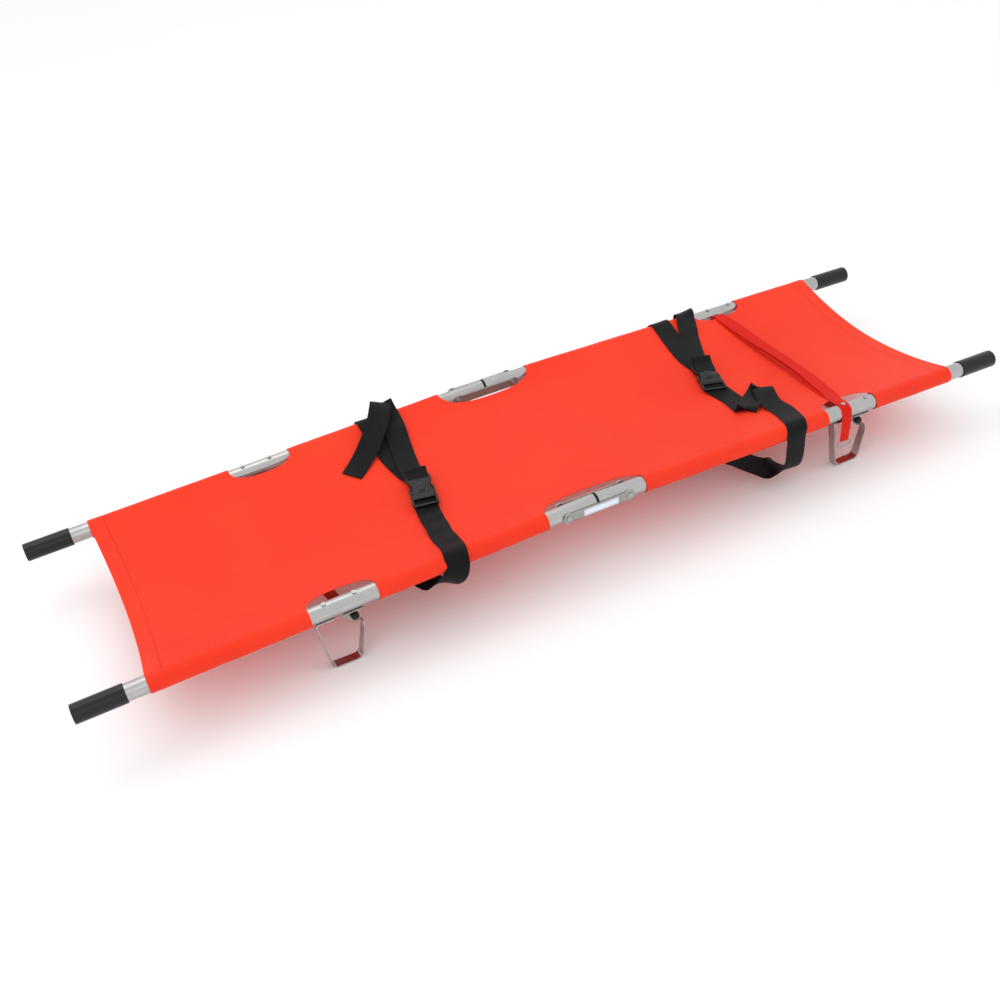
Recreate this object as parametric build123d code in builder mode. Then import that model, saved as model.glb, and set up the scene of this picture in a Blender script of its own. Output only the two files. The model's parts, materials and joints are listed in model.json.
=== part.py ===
from build123d import *
import os
from math import cos, radians, sin, sqrt, tan

# Pole stretcher that folds in two ways: the poles come together sideways on two jointed cross bars,
# and each pole folds in half, downwards, about two bolts at its middle.
# Millimetres. X runs along the poles, Y from the front pole to the rear pole, Z up from the floor.

# ---- driving dimensions -------------------------------------------------------------------------
LENGTH = 2100.0          # over the grips
POLE_Y = 253.5           # pole axis, each side of the middle
TUBE_R = 17.0
TUBE_WALL = 2.0
LINK_X = 70.0            # hinge bolts, each side of the middle
LINK_Z = 153.5           # hinge bolts above the floor
CAMBER = 1.5             # each half pole falls outwards by this angle, degrees

GRIP_R = 19.0
GRIP_LENGTH = 95.0
GRIP_WALL_END = 3.5
TUBE_GAP = 2.6           # tube end to the middle of the stretcher
PLUG_FLANGE = 2.4

PLATE_T = 3.0
PLATE_HALF_HEIGHT = 10.0
PLATE_LOBE_R = 12.0
HINGE_BOLT_R = 4.0
FIT = 0.05               # radial clearance of a bolt or pin that something turns on
GAP = 0.3                # clearance between pieces that move past each other

FOOT_X = {"left": -559.0, "right": 643.0}   # the feet are staggered, so that they nest when folded
STRIP_W = 20.0
STRIP_T = 3.0
FOOT_TOP = 94.0          # over the outside of the strip
FOOT_BOTTOM = 62.0
FOOT_CORNER_R = 13.0
FOOT_LEG_TOP = 54.0      # upper end of the free leg, below the pole axis
BOLT_R = 3.0
BOLT_AT = (-20.0, 41.0)  # the two bolts of a foot, from its middle
NUT_T = 5.0
BOLT_END = 1.5           # a hinge bolt's end past its nut
HINGE_HEAD_R, HINGE_HEAD_T = 5.8, 2.4
FOOT_HEAD_R, FOOT_HEAD_T = 4.8, 1.8
PIN_HEAD_R, PIN_HEAD_T = 5.5, 2.4
COLLAR_R, COLLAR_T = 5.0, 1.6

PIVOT_AT = 20.0          # cross bar pivot, from the foot's middle along the pole
PIVOT_IN = 26.0          # and inwards from the pole axis
LUG_IN = 6.0             # outer face of the bracket's lug, inwards from the pole axis
LUG_DROP = 60.0
LUG_EDGE = 43.7          # the lug's edge that the foot's free leg is welded to, from the foot's middle
BAR_LEVEL = {"front": 31.0, "rear": 36.0}   # top of each link, below the pole axis
TAB_GAP = 0.6            # bracket's tab to the link under it
BAR_W = 24.0
BAR_T = 4.0
BAR_LEAN = 10.0          # both links lean this much towards -X at rest, degrees

SLEEVE_R = 18.4
SLEEVE_WALL = 1.2
BED_END = 916.0
MID_CUT = 112.0          # half length of the cut-out over the hinge
FOOT_CUT = {"left": (475.0, 611.0), "right": (574.0, 704.0)}
CUT_FOOT_Y = 217.0       # how far from the middle the cut-outs reach in
CUT_MID_Y = 210.0
BED_T = 1.2
BED_Y = 237.0            # the bed panels end here, just inside the sleeves
SAG = 18.0               # the bed's middle, below the pole axis
CREASE = 1.2             # gap between the bed's panels, where the bed creases

STRAP_W = 48.0
STRAP_T = 1.6
BUCKLE_W = 54.0
BUCKLE_T = 13.0
BUCKLE_WALL = 3.0
RED_W = 26.0

SIDE = {"left": -1, "right": 1}
POLE = {"front": -1, "rear": 1}
CORNERS = [(pole, side) for pole in POLE for side in SIDE]
COS, SIN = cos(radians(CAMBER)), sin(radians(CAMBER))
BAR_LENGTH = (POLE_Y - PIVOT_IN) / cos(radians(BAR_LEAN))

os.makedirs("parts", exist_ok=True)


def keep(builder, node):
    """Label a finished piece and write it."""
    builder.part.label = node
    export_step(builder.part, f"parts/{node}.step")


# ---- places on a half pole ----------------------------------------------------------------------
def deck(side, x, y, up=0.0):
    """Plane parallel to a half pole, x along it, y across the stretcher, z up from the pole axis."""
    lean = SIDE[side] * SIN
    along, normal = Vector(COS, 0, -lean), Vector(lean, 0, COS)
    bolt = Vector(SIDE[side] * LINK_X, y, LINK_Z)
    return Plane(bolt + along * ((x - bolt.X) / COS) + normal * up, x_dir=along, z_dir=normal)


def across(side, x, y):
    """Plane square across a half pole, x across the stretcher, y up, z along the pole towards +X."""
    flat = deck(side, x, y)
    return Plane(flat.origin, x_dir=(0, 1, 0), z_dir=flat.x_dir)


def axis_z(side, x):
    """Height of the pole axis above the floor."""
    return deck(side, x, 0).origin.Z


def stretch(side, inner, outer):
    """Start (lowest x) and length along the pole of a stretch given by its distances from the middle."""
    return (inner if side == "right" else -outer), (outer - inner) / COS


def upright(y):
    """Vertical plane along the stretcher at y, seen from the front: x to the right, y up."""
    return Plane((0, y, 0), x_dir=(1, 0, 0), z_dir=(0, -1, 0))


def bed_height(y):
    """The bed's middle surface over the pole axis: a shallow parabola that meets the sleeves' tops."""
    return -SAG + BED_RISE * y * y


# the parabola's slope where it touches the sleeve, found by a few rounds of the tangency condition
slope = 0.28
for _ in range(20):
    touch_y = POLE_Y - SLEEVE_R * slope / sqrt(1 + slope * slope)
    touch_z = SLEEVE_R / sqrt(1 + slope * slope)
    slope = 2 * (touch_z + SAG) / touch_y
BED_RISE = slope / (2 * touch_y)


# ---- poles --------------------------------------------------------------------------------------
def pole_tube(pole, side):
    y = POLE[pole] * POLE_Y
    start, length = stretch(side, TUBE_GAP, LENGTH / 2 - GRIP_WALL_END)
    with BuildPart() as tube:
        with BuildSketch(across(side, start, y)):
            Circle(TUBE_R)
            Circle(TUBE_R - TUBE_WALL, mode=Mode.SUBTRACT)
        extrude(amount=length)
        with BuildSketch(upright(y)):
            with Locations((SIDE[side] * LINK_X, LINK_Z)):
                Circle(HINGE_BOLT_R + FIT)
        extrude(amount=TUBE_R + 1, both=True, mode=Mode.SUBTRACT)
        for offset_x in BOLT_AT:
            with BuildSketch(deck(side, FOOT_X[side] + offset_x, y)):
                Circle(BOLT_R + FIT)
            extrude(amount=TUBE_R + 1, both=True, mode=Mode.SUBTRACT)
    keep(tube, f"{pole}_{side}_tube")


def pole_grip(pole, side):
    y = POLE[pole] * POLE_Y
    start, length = stretch(side, LENGTH / 2 - GRIP_LENGTH, LENGTH / 2)
    hollow, depth = stretch(side, LENGTH / 2 - GRIP_LENGTH, LENGTH / 2 - GRIP_WALL_END)
    with BuildPart() as grip:
        with BuildSketch(across(side, start, y)):
            Circle(GRIP_R)
        extrude(amount=length)
        ends = grip.edges().filter_by(GeomType.CIRCLE).sort_by(Axis.X)
        fillet(ends[-1] if side == "right" else ends[0], radius=2)
        with BuildSketch(across(side, hollow, y)):
            Circle(TUBE_R + FIT)
        extrude(amount=depth, mode=Mode.SUBTRACT)
    keep(grip, f"{pole}_{side}_grip")


def end_plug(pole, side):
    """Closes the tube at the hinge. Its flange is only the upper half, so that the halves can turn."""
    y = POLE[pole] * POLE_Y
    start, length = stretch(side, TUBE_GAP, TUBE_GAP + 20)
    lip, lip_length = stretch(side, TUBE_GAP - PLUG_FLANGE, TUBE_GAP)
    with BuildPart() as plug:
        with BuildSketch(across(side, start, y)):
            Circle(TUBE_R - TUBE_WALL - FIT)
        extrude(amount=length)
        with BuildSketch(across(side, lip, y)):
            Circle(TUBE_R)
            with Locations((0, -TUBE_R)):
                Rectangle(3 * TUBE_R, 2 * TUBE_R, mode=Mode.SUBTRACT)
        extrude(amount=lip_length)
    keep(plug, f"{pole}_{side}_plug")


# ---- hinge at the middle of a pole --------------------------------------------------------------
def hinge_plate(pole, face):
    """Flat bar beside the tubes, with a round lobe at each bolt. face is outer or inner."""
    outward = POLE[pole] if face == "outer" else -POLE[pole]
    y = POLE[pole] * POLE_Y + outward * (TUBE_R + GAP + PLATE_T / 2)
    with BuildPart() as plate:
        with BuildSketch(upright(y)):
            with Locations((0, LINK_Z)):
                Rectangle(2 * LINK_X, 2 * PLATE_HALF_HEIGHT)
            with Locations((-LINK_X, LINK_Z), (LINK_X, LINK_Z)):
                Circle(PLATE_LOBE_R)
                Circle(HINGE_BOLT_R + FIT, mode=Mode.SUBTRACT)
        extrude(amount=PLATE_T / 2, both=True)
        rims = plate.faces().filter_by(Axis.Y).edges().filter_by(GeomType.LINE)
        fillet(rims, radius=0.8)
    keep(plate, f"{pole}_{face}_hinge_plate")


def hinge_bolts(pole):
    """Two bolts through both plates and the tubes, round heads outside, nuts inside."""
    outward = POLE[pole]
    reach = TUBE_R + GAP + PLATE_T
    with BuildPart() as bolts:
        for x in (-LINK_X, LINK_X):
            axis_at = Vector(x, outward * POLE_Y, LINK_Z)
            shank = Plane(axis_at - Vector(0, outward * (reach + NUT_T + BOLT_END), 0), z_dir=(0, outward, 0))
            head = Plane(axis_at + Vector(0, outward * reach, 0), z_dir=(0, outward, 0))
            nut = Plane(axis_at - Vector(0, outward * reach, 0), z_dir=(0, -outward, 0))
            with BuildSketch(shank):
                Circle(HINGE_BOLT_R)
            extrude(amount=2 * reach + NUT_T + BOLT_END)
            with BuildSketch(head):
                Circle(HINGE_HEAD_R)
            extrude(amount=HINGE_HEAD_T)
            with BuildSketch(nut):
                RegularPolygon(7.5, 6)
                Circle(HINGE_BOLT_R + FIT, mode=Mode.SUBTRACT)
            extrude(amount=NUT_T)
        crowns = bolts.faces().filter_by(Axis.Y).group_by(Axis.Y)[-1 if outward > 0 else 0]
        fillet(crowns.edges(), radius=HINGE_HEAD_T * 0.6)
    keep(bolts, f"{pole}_hinge_bolts")


def label_plate():
    """Blank identification label on the front outer plate."""
    y = -POLE_Y - TUBE_R - GAP - PLATE_T
    with BuildPart() as label:
        with BuildSketch(upright(y)):
            with Locations((4, LINK_Z - 0.5)):
                RectangleRounded(79, 15, 1.5)
        extrude(amount=0.4)
    keep(label, "label")


# ---- feet, brackets and their fasteners ---------------------------------------------------------
def foot(pole, side):
    """Strip bent into an open trapezoid: bolted flange, leg, floor run, and a free leg at the lug."""
    y, x = POLE[pole] * POLE_Y, FOOT_X[side]
    top, bottom = (FOOT_TOP - STRIP_T) / 2, (FOOT_BOTTOM - STRIP_T) / 2
    under = TUBE_R + FIT + STRIP_T / 2
    flange_end = deck(side, x - 6, 0, -under).origin
    shoulder = deck(side, x - top, 0, -under).origin
    lug_foot = axis_z(side, x + top) - FOOT_LEG_TOP - 14
    with BuildPart() as strip:
        with BuildSketch(upright(y)):
            with BuildLine():
                FilletPolyline(
                    (flange_end.X, flange_end.Z),
                    (shoulder.X, shoulder.Z),
                    (x - bottom, STRIP_T / 2),
                    (x + bottom, STRIP_T / 2),
                    (x + top, lug_foot),
                    (x + top, lug_foot + 14),
                    radius=[5, FOOT_CORNER_R, FOOT_CORNER_R, 8],
                )
            trace(line_width=STRIP_T)
        extrude(amount=STRIP_W / 2, both=True)
        tip = strip.faces().filter_by(Axis.Z).sort_by(Axis.Z)[-1]
        fillet(tip.edges().filter_by(Axis.X), radius=7)
        fillet(strip.faces().filter_by(Axis.Y).edges(), radius=0.9)
        with BuildSketch(deck(side, x + BOLT_AT[0], y, -TUBE_R)):
            Circle(BOLT_R + FIT)
        extrude(amount=-2 * STRIP_T, mode=Mode.SUBTRACT)
    keep(strip, f"{pole}_{side}_foot")


def spreader_bracket(pole, side):
    """Flange under the tube, a lug that hangs from it, and a tab inwards that holds the bar's pivot."""
    inward = -POLE[pole]
    y, x = POLE[pole] * POLE_Y, FOOT_X[side]
    under = TUBE_R + FIT
    tab_level = BAR_LEVEL[pole] - TAB_GAP
    lug_y = y + inward * (LUG_IN + STRIP_T / 2)
    lug_top = under + STRIP_T / 2
    lug = (
        (10, lug_top),
        (LUG_EDGE, lug_top),
        (LUG_EDGE, LUG_DROP),
        (34, LUG_DROP),
        (14, LUG_DROP - 19),
        (10, LUG_DROP - 24),
    )
    with BuildPart() as bracket:
        with BuildSketch(deck(side, x + 30, y, -under - STRIP_T)):
            RectangleRounded(40, STRIP_W, 2)
        extrude(amount=STRIP_T)
        with BuildSketch(upright(lug_y)):
            with BuildLine():
                Polyline([(x + along, axis_z(side, x) - drop) for along, drop in lug], close=True)
            make_face()
        extrude(amount=STRIP_T / 2, both=True)
        tab = deck(side, x + PIVOT_AT, y + inward * (LUG_IN + 1), -tab_level)
        with BuildSketch(tab):
            with Locations((0, inward * (PIVOT_IN - LUG_IN - 1) / 2)):
                Rectangle(20, PIVOT_IN - LUG_IN - 1)
            with Locations((0, inward * (PIVOT_IN - LUG_IN - 1))):
                Circle(10)
        extrude(amount=STRIP_T)
        for offset_x, offset_y, radius in (
            (BOLT_AT[1], 0, BOLT_R),
            (PIVOT_AT, inward * PIVOT_IN, BOLT_R),
        ):
            with BuildSketch(deck(side, x + offset_x, y + offset_y, -TUBE_R)):
                Circle(radius + FIT)
            extrude(amount=-LUG_DROP / 2, mode=Mode.SUBTRACT)
    keep(bracket, f"{pole}_{side}_bracket")


def bumper(pole, side):
    """Black cap on the outer face of the lug."""
    inward = -POLE[pole]
    y, x = POLE[pole] * POLE_Y, FOOT_X[side]
    at = deck(side, x + 33, y + inward * LUG_IN, -42)
    with BuildPart() as cap:
        with BuildSketch(Plane(at.origin, x_dir=at.x_dir, z_dir=(0, -inward, 0))):
            Circle(8)
        extrude(amount=8)
        face = cap.faces().filter_by(Axis.Y).sort_by(Axis.Y)[0 if inward > 0 else -1]
        fillet(face.edges(), radius=2.5)
    keep(cap, f"{pole}_{side}_bumper")


def fasteners(pole, side):
    """The foot's two bolts with nuts, and the cross bar's pivot pin. All stand square to the pole."""
    inward = -POLE[pole]
    y, x = POLE[pole] * POLE_Y, FOOT_X[side]
    flange = TUBE_R + FIT + STRIP_T
    with BuildPart() as group:
        for number, offset_x in enumerate(BOLT_AT):
            holds_strap = pole == "front" and side == "right" and number == 0
            seat = TUBE_R + FIT + (GAP + STRAP_T if holds_strap else 0)
            low = flange + NUT_T + 2
            with BuildSketch(deck(side, x + offset_x, y, -low)):
                Circle(BOLT_R)
            extrude(amount=low + seat)
            with BuildSketch(deck(side, x + offset_x, y, seat)):
                Circle(FOOT_HEAD_R)
            extrude(amount=FOOT_HEAD_T)
            with BuildSketch(deck(side, x + offset_x, y, -flange - NUT_T)):
                RegularPolygon(5.8, 6)
                Circle(BOLT_R + FIT, mode=Mode.SUBTRACT)
            extrude(amount=NUT_T)
        tab_top = BAR_LEVEL[pole] - TAB_GAP - STRIP_T
        pin_end = BAR_LEVEL[pole] + BAR_T + GAP + COLLAR_T
        for level, radius, height in (
            (pin_end, BOLT_R, pin_end - tab_top),
            (tab_top, PIN_HEAD_R, PIN_HEAD_T),
            (pin_end, COLLAR_R, COLLAR_T),
        ):
            with BuildSketch(deck(side, x + PIVOT_AT, y + inward * PIVOT_IN, -level)):
                Circle(radius)
            extrude(amount=height)
    keep(group, f"{pole}_{side}_fasteners")


# ---- cross bars ---------------------------------------------------------------------------------
def spreader_bar(pole, side):
    """Flat link from a pole's pivot to the pin in the middle."""
    y, x = POLE[pole] * (POLE_Y - PIVOT_IN), FOOT_X[side] + PIVOT_AT
    turn = 90 - BAR_LEAN if pole == "rear" else -90 + BAR_LEAN
    start = deck(side, x, y, -BAR_LEVEL[pole] - BAR_T)
    with BuildPart() as bar:
        with BuildSketch(start):
            with Locations(Rotation(0, 0, 180 + turn)):
                SlotCenterPoint((BAR_LENGTH / 2, 0), (BAR_LENGTH, 0), BAR_W)
                with Locations((0, 0), (BAR_LENGTH, 0)):
                    Circle(BOLT_R + FIT, mode=Mode.SUBTRACT)
        extrude(amount=BAR_T)
        for face in (bar.faces().sort_by(Axis.Z)[-1], bar.faces().sort_by(Axis.Z)[0]):
            fillet(face.outer_wire().edges(), radius=0.8)
    keep(bar, f"{side}_spreader_{pole}_link")


def spreader_pin(side):
    """Rivet that joins the two links. It is fast in the front link and turns in the rear link."""
    x = FOOT_X[side] + PIVOT_AT - (POLE_Y - PIVOT_IN) * tan(radians(BAR_LEAN))
    top, pin_end = BAR_LEVEL["front"], BAR_LEVEL["rear"] + BAR_T + GAP + COLLAR_T
    with BuildPart() as pin:
        for level, radius, height in (
            (pin_end, BOLT_R, pin_end - top),
            (top, PIN_HEAD_R, PIN_HEAD_T),
            (pin_end, COLLAR_R, COLLAR_T),
        ):
            with BuildSketch(deck(side, x, 0, -level)):
                Circle(radius)
            extrude(amount=height)
    keep(pin, f"{side}_spreader_pin")


# ---- bed ----------------------------------------------------------------------------------------
def sleeve(pole, side):
    """The bed's hem round the tube, open at the cut-outs."""
    y = POLE[pole] * POLE_Y
    near, far = FOOT_CUT[side]
    with BuildPart() as hem:
        for inner, outer in ((MID_CUT, near), (far, BED_END)):
            start, length = stretch(side, inner, outer)
            with BuildSketch(across(side, start, y)):
                Circle(SLEEVE_R)
                Circle(SLEEVE_R - SLEEVE_WALL, mode=Mode.SUBTRACT)
            extrude(amount=length)
    keep(hem, f"{pole}_{side}_sleeve")


def bed_panel(side):
    """Sheet between the sleeves, from the hinge bolts to the bed's end, with its cut-outs."""
    start, length = stretch(side, LINK_X + CREASE, BED_END)
    near, far = FOOT_CUT[side]
    with BuildPart() as panel:
        with BuildSketch(across(side, start, 0)):
            with BuildLine():
                ThreePointArc(
                    (-BED_Y, bed_height(BED_Y)), (0, bed_height(0)), (BED_Y, bed_height(BED_Y))
                )
            trace(line_width=BED_T)
        extrude(amount=length)
        with BuildSketch(deck(side, SIDE[side] * (near + far) / 2, 0, -2 * SAG)):
            with Locations((0, -CUT_FOOT_Y - 40), (0, CUT_FOOT_Y + 40)):
                RectangleRounded((far - near) / COS, 80, 24)
        extrude(amount=4 * SAG, mode=Mode.SUBTRACT)
        with BuildSketch(deck(side, 0, 0, -2 * SAG)):
            with Locations((0, -CUT_MID_Y - 40), (0, CUT_MID_Y + 40)):
                RectangleRounded(2 * MID_CUT / COS, 80, 24)
        extrude(amount=4 * SAG, mode=Mode.SUBTRACT)
    keep(panel, f"bed_panel_{side}")


def bed_panel_middle():
    """Sheet over the hinge, between the two lines on which the bed creases when it folds."""
    with BuildPart() as panel:
        with BuildSketch(Plane((-LINK_X + GAP / 2, 0, LINK_Z), x_dir=(0, 1, 0), z_dir=(1, 0, 0))):
            with BuildLine():
                rim = bed_height(CUT_MID_Y)
                ThreePointArc((-CUT_MID_Y, rim), (0, bed_height(0)), (CUT_MID_Y, rim))
            trace(line_width=BED_T)
        extrude(amount=2 * LINK_X - GAP)
    keep(panel, "bed_panel_middle")


# ---- black restraint straps ---------------------------------------------------------------------
# rear: where each strap's two strands go over the rear pole, and how far out and up they stand off it
# buckle, turn: the buckle's middle and its turn on the bed
# front, hang: where the strap goes over the front pole, and its loose loop's depth under the pole axis
STRAP = {
    "left": {
        "rear": ((-288.0, 1.0, 1.0), (-238.0, 12.0, 25.0)), "buckle": (-277.0, -18.0), "turn": 13.0,
        "front": -311.0, "hang": 56.0,
    },
    "right": {
        "rear": ((484.0, 1.0, 1.0), (560.0, 6.0, 8.0)), "buckle": (468.0, 24.0), "turn": 17.0,
        "front": 478.0, "hang": 92.0,
    },
}
BUCKLE_HALF = 52.0       # half the length of the closed buckle
LATCH_TRAVEL = 45.0      # the released latch is drawn this far along the bed, and stays clear of it
STRAP_CLEAR = 9.0        # from the closed buckle to the webbing that lies on the bed
LOOP_R = SLEEVE_R + GAP + STRAP_T


def restraint_strap(side):
    """Webbing on the bed, from the buckle to both poles, in short pieces, and the slack front loop."""
    place = STRAP[side]
    x_mid, y_mid = place["buckle"]
    reach, turn = BUCKLE_HALF + STRAP_CLEAR, radians(place["turn"])
    away = (reach * sin(turn), reach * cos(turn))
    lift = BED_T / 2 + GAP + STRAP_T / 2
    hang = place["hang"] - LOOP_R
    steps = 8
    ends = [(place["front"], -BED_Y + 2, x_mid - away[0], y_mid - away[1])]
    ends += [(x, BED_Y - 12, x_mid + away[0], y_mid + away[1]) for x, _, _ in place["rear"]]
    with BuildPart() as strap:
        for x_end, y_end, x_start, y_start in ends:
            for n in range(steps):
                y_a = y_start + (y_end - y_start) * n / steps
                y_b = y_start + (y_end - y_start) * (n + 1) / steps
                x = x_start + (x_end - x_start) * (n + 0.5) / steps
                with BuildSketch(across(side, x, 0)):
                    with BuildLine():
                        Line((y_a, bed_height(y_a) + lift), (y_b, bed_height(y_b) + lift))
                    trace(line_width=STRAP_T)
                extrude(amount=STRAP_W / 2, both=True)
        with BuildSketch(across(side, place["front"], -POLE_Y)):
            for radius, mode in ((LOOP_R, Mode.ADD), (LOOP_R - STRAP_T, Mode.SUBTRACT)):
                with Locations((0, 0), (0, -hang)):
                    Circle(radius, mode=mode)
                with Locations((0, -hang / 2)):
                    Rectangle(2 * radius, hang, mode=mode)
        extrude(amount=STRAP_W / 2, both=True)
    keep(strap, f"strap_{side}")


def strap_rear_loop(side):
    """The same webbing where its two strands go round the rear pole."""
    with BuildPart() as loop:
        for x, out, up in STRAP[side]["rear"]:
            with BuildSketch(across(side, x, POLE_Y)):
                SlotCenterPoint((out / 2, up / 2), (out, up), 2 * LOOP_R)
                SlotCenterPoint((out / 2, up / 2), (out, up), 2 * (LOOP_R - STRAP_T), mode=Mode.SUBTRACT)
            extrude(amount=STRAP_W / 2, both=True)
    keep(loop, f"strap_{side}_rear_loop")


# ---- buckles ------------------------------------------------------------------------------------
def buckle_plane(side, up=0.0):
    """Plane on the bed at the middle of a buckle, x across the webbing, y along it."""
    x, y = STRAP[side]["buckle"]
    farthest = max(y + BUCKLE_HALF, BUCKLE_HALF + LATCH_TRAVEL - y)
    height = bed_height(farthest) + BED_T / 2 + 2 * GAP
    return deck(side, x, y, height + up).rotated((0, 0, -STRAP[side]["turn"]))


def buckle_body(side):
    """Female half: a flat shell, open towards the latch and in its two side windows."""
    half = BUCKLE_W / 2
    with BuildPart() as shell:
        with BuildSketch(buckle_plane(side)):
            with Locations((0, 22)):
                RectangleRounded(BUCKLE_W, 60, 8)
        extrude(amount=BUCKLE_T)
        fillet(shell.faces().sort_by(Axis.Z)[-1].edges(), radius=3)
        with BuildSketch(buckle_plane(side, BUCKLE_WALL)):
            with Locations((0, 12)):
                Rectangle(BUCKLE_W - 8, 50)
            with Locations((-half, 20), (half, 20)):
                Rectangle(20, 16)
        extrude(amount=BUCKLE_T - 2 * BUCKLE_WALL, mode=Mode.SUBTRACT)
        with BuildSketch(buckle_plane(side, -1)):
            with Locations((0, 44)):
                SlotOverall(BUCKLE_W - 12, 6)
        extrude(amount=BUCKLE_T + 2, mode=Mode.SUBTRACT)
    keep(shell, f"strap_{side}_buckle")


def buckle_latch(side):
    """Male half: a bar for the webbing, a guide tongue and two springy prongs with release pads."""
    half = BUCKLE_W / 2
    thick = BUCKLE_T - 2 * BUCKLE_WALL - 2 * GAP
    with BuildPart() as latch:
        with BuildSketch(buckle_plane(side, 0.5)):
            with Locations((0, -31)):
                RectangleRounded(BUCKLE_W, 40, 6)
            with Locations((0, -38)):
                SlotOverall(BUCKLE_W - 12, 6, mode=Mode.SUBTRACT)
        extrude(amount=BUCKLE_T - 1)
        with BuildSketch(buckle_plane(side, BUCKLE_WALL + GAP)):
            with Locations((0, 4)):
                Rectangle(10, 46)
            for hand in (-1, 1):
                with BuildLine():
                    Polyline(
                        (hand * (half - 12), -14),
                        (hand * (half - 8), -14),
                        (hand * (half - 8), 12.5),
                        (hand * (half - 4 - 2 * GAP), 14),
                        (hand * (half - 4 - 2 * GAP), 26),
                        (hand * (half - 8), 27.5),
                        (hand * (half - 12), 24),
                        close=True,
                    )
                make_face()
        extrude(amount=thick)
    keep(latch, f"strap_{side}_latch")


# ---- red strap ----------------------------------------------------------------------------------
RED_X = FOOT_X["right"] + BOLT_AT[0]
RED_REAR_X = 636.0       # between the foot's bolts, where it turns round the rear pole
# the strap's way over the bed, from the rear cut-out to the front one: x, y, height over the bed
RED_PATH = (
    (638.0, 212.0, 2.4),
    (646.0, 165.0, 6.0),
    (652.0, 110.0, 12.0),
    (657.0, 45.0, 16.0),
    (658.0, -25.0, 17.0),
    (655.0, -90.0, 14.0),
    (647.0, -150.0, 8.0),
    (636.0, -195.0, 4.0),
    (628.0, -223.0, 4.0),
)
RED_R = TUBE_R + GAP / 2 + STRAP_T
TAIL_DROP = 66.0
RING_WIRE_R = 1.25
HEM_Y = -POLE_Y - RED_R - 1.0


def red_strap():
    """Narrow webbing over the bed, over the front pole under a bolt head, and down to its hem."""
    hem_r = RING_WIRE_R + 0.08
    with BuildPart() as strap:
        with BuildSketch(across("right", RED_X, 0)):
            with BuildLine():
                over = CenterArc((-POLE_Y, 0), RED_R - STRAP_T / 2, 75, 105)
                Line(over @ 0, (RED_PATH[-1][1], bed_height(RED_PATH[-1][1]) + RED_PATH[-1][2]))
                Line(over @ 1, (HEM_Y + 1, -TAIL_DROP + 3))
            trace(line_width=STRAP_T)
            with Locations((HEM_Y, -TAIL_DROP)):
                Circle(hem_r + 2.2)
                Circle(hem_r, mode=Mode.SUBTRACT)
        extrude(amount=RED_W / 2, both=True)
        for (x_a, y_a, lift_a), (x_b, y_b, lift_b) in zip(RED_PATH, RED_PATH[1:]):
            with BuildSketch(across("right", (x_a + x_b) / 2, 0)):
                with BuildLine():
                    Line((y_a, bed_height(y_a) + lift_a), (y_b, bed_height(y_b) + lift_b))
                trace(line_width=STRAP_T)
            extrude(amount=RED_W / 2, both=True)
        with BuildSketch(deck("right", RED_X, -POLE_Y, 0)):
            Circle(BOLT_R + FIT)
        extrude(amount=2 * TUBE_R, mode=Mode.SUBTRACT)
    keep(strap, "red_strap")


def red_strap_rear_end():
    """The rear end of the red webbing, down through the cut-out and round the pole's inner side."""
    with BuildPart() as strap:
        with BuildSketch(across("right", RED_REAR_X, POLE_Y)):
            with BuildLine():
                round_pole = CenterArc((0, 0), RED_R - STRAP_T / 2, 128, 100)
                Line(round_pole @ 0, (-30, 12.5))
            trace(line_width=STRAP_T)
        extrude(amount=RED_W / 2, both=True)
    keep(strap, "red_strap_rear_end")


def red_strap_ring():
    """Bent wire rectangle that hangs in the hem. Its ends meet inside the hem."""
    hem = deck("right", RED_X, HEM_Y, -TAIL_DROP)
    half, drop = RED_W / 2 + 4, 13
    with BuildPart() as ring:
        with BuildLine(Plane(hem.origin, x_dir=hem.x_dir, z_dir=(0, -1, 0))) as wire:
            FilletPolyline(
                (0.3, 0), (half, 0), (half, -drop), (-half, -drop), (-half, 0), (-0.3, 0), radius=3
            )
        with BuildSketch(Plane(wire.line @ 0, x_dir=(0, 1, 0), z_dir=hem.x_dir)):
            Circle(RING_WIRE_R)
        sweep(path=wire.wire())
    keep(ring, "red_strap_ring")


for pole, side in CORNERS:
    pole_tube(pole, side)
    pole_grip(pole, side)
    end_plug(pole, side)
    foot(pole, side)
    spreader_bracket(pole, side)
    bumper(pole, side)
    fasteners(pole, side)
    spreader_bar(pole, side)
    sleeve(pole, side)
for pole in POLE:
    hinge_plate(pole, "outer")
    hinge_plate(pole, "inner")
    hinge_bolts(pole)
for side in SIDE:
    spreader_pin(side)
    bed_panel(side)
    restraint_strap(side)
    strap_rear_loop(side)
    buckle_body(side)
    buckle_latch(side)
bed_panel_middle()
label_plate()
red_strap()
red_strap_rear_end()
red_strap_ring()
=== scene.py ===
import json
from math import ceil, cos, pi, radians, sin, sqrt, tan

import bmesh
import bpy
import numpy as np
from mathutils import Matrix, Vector


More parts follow.
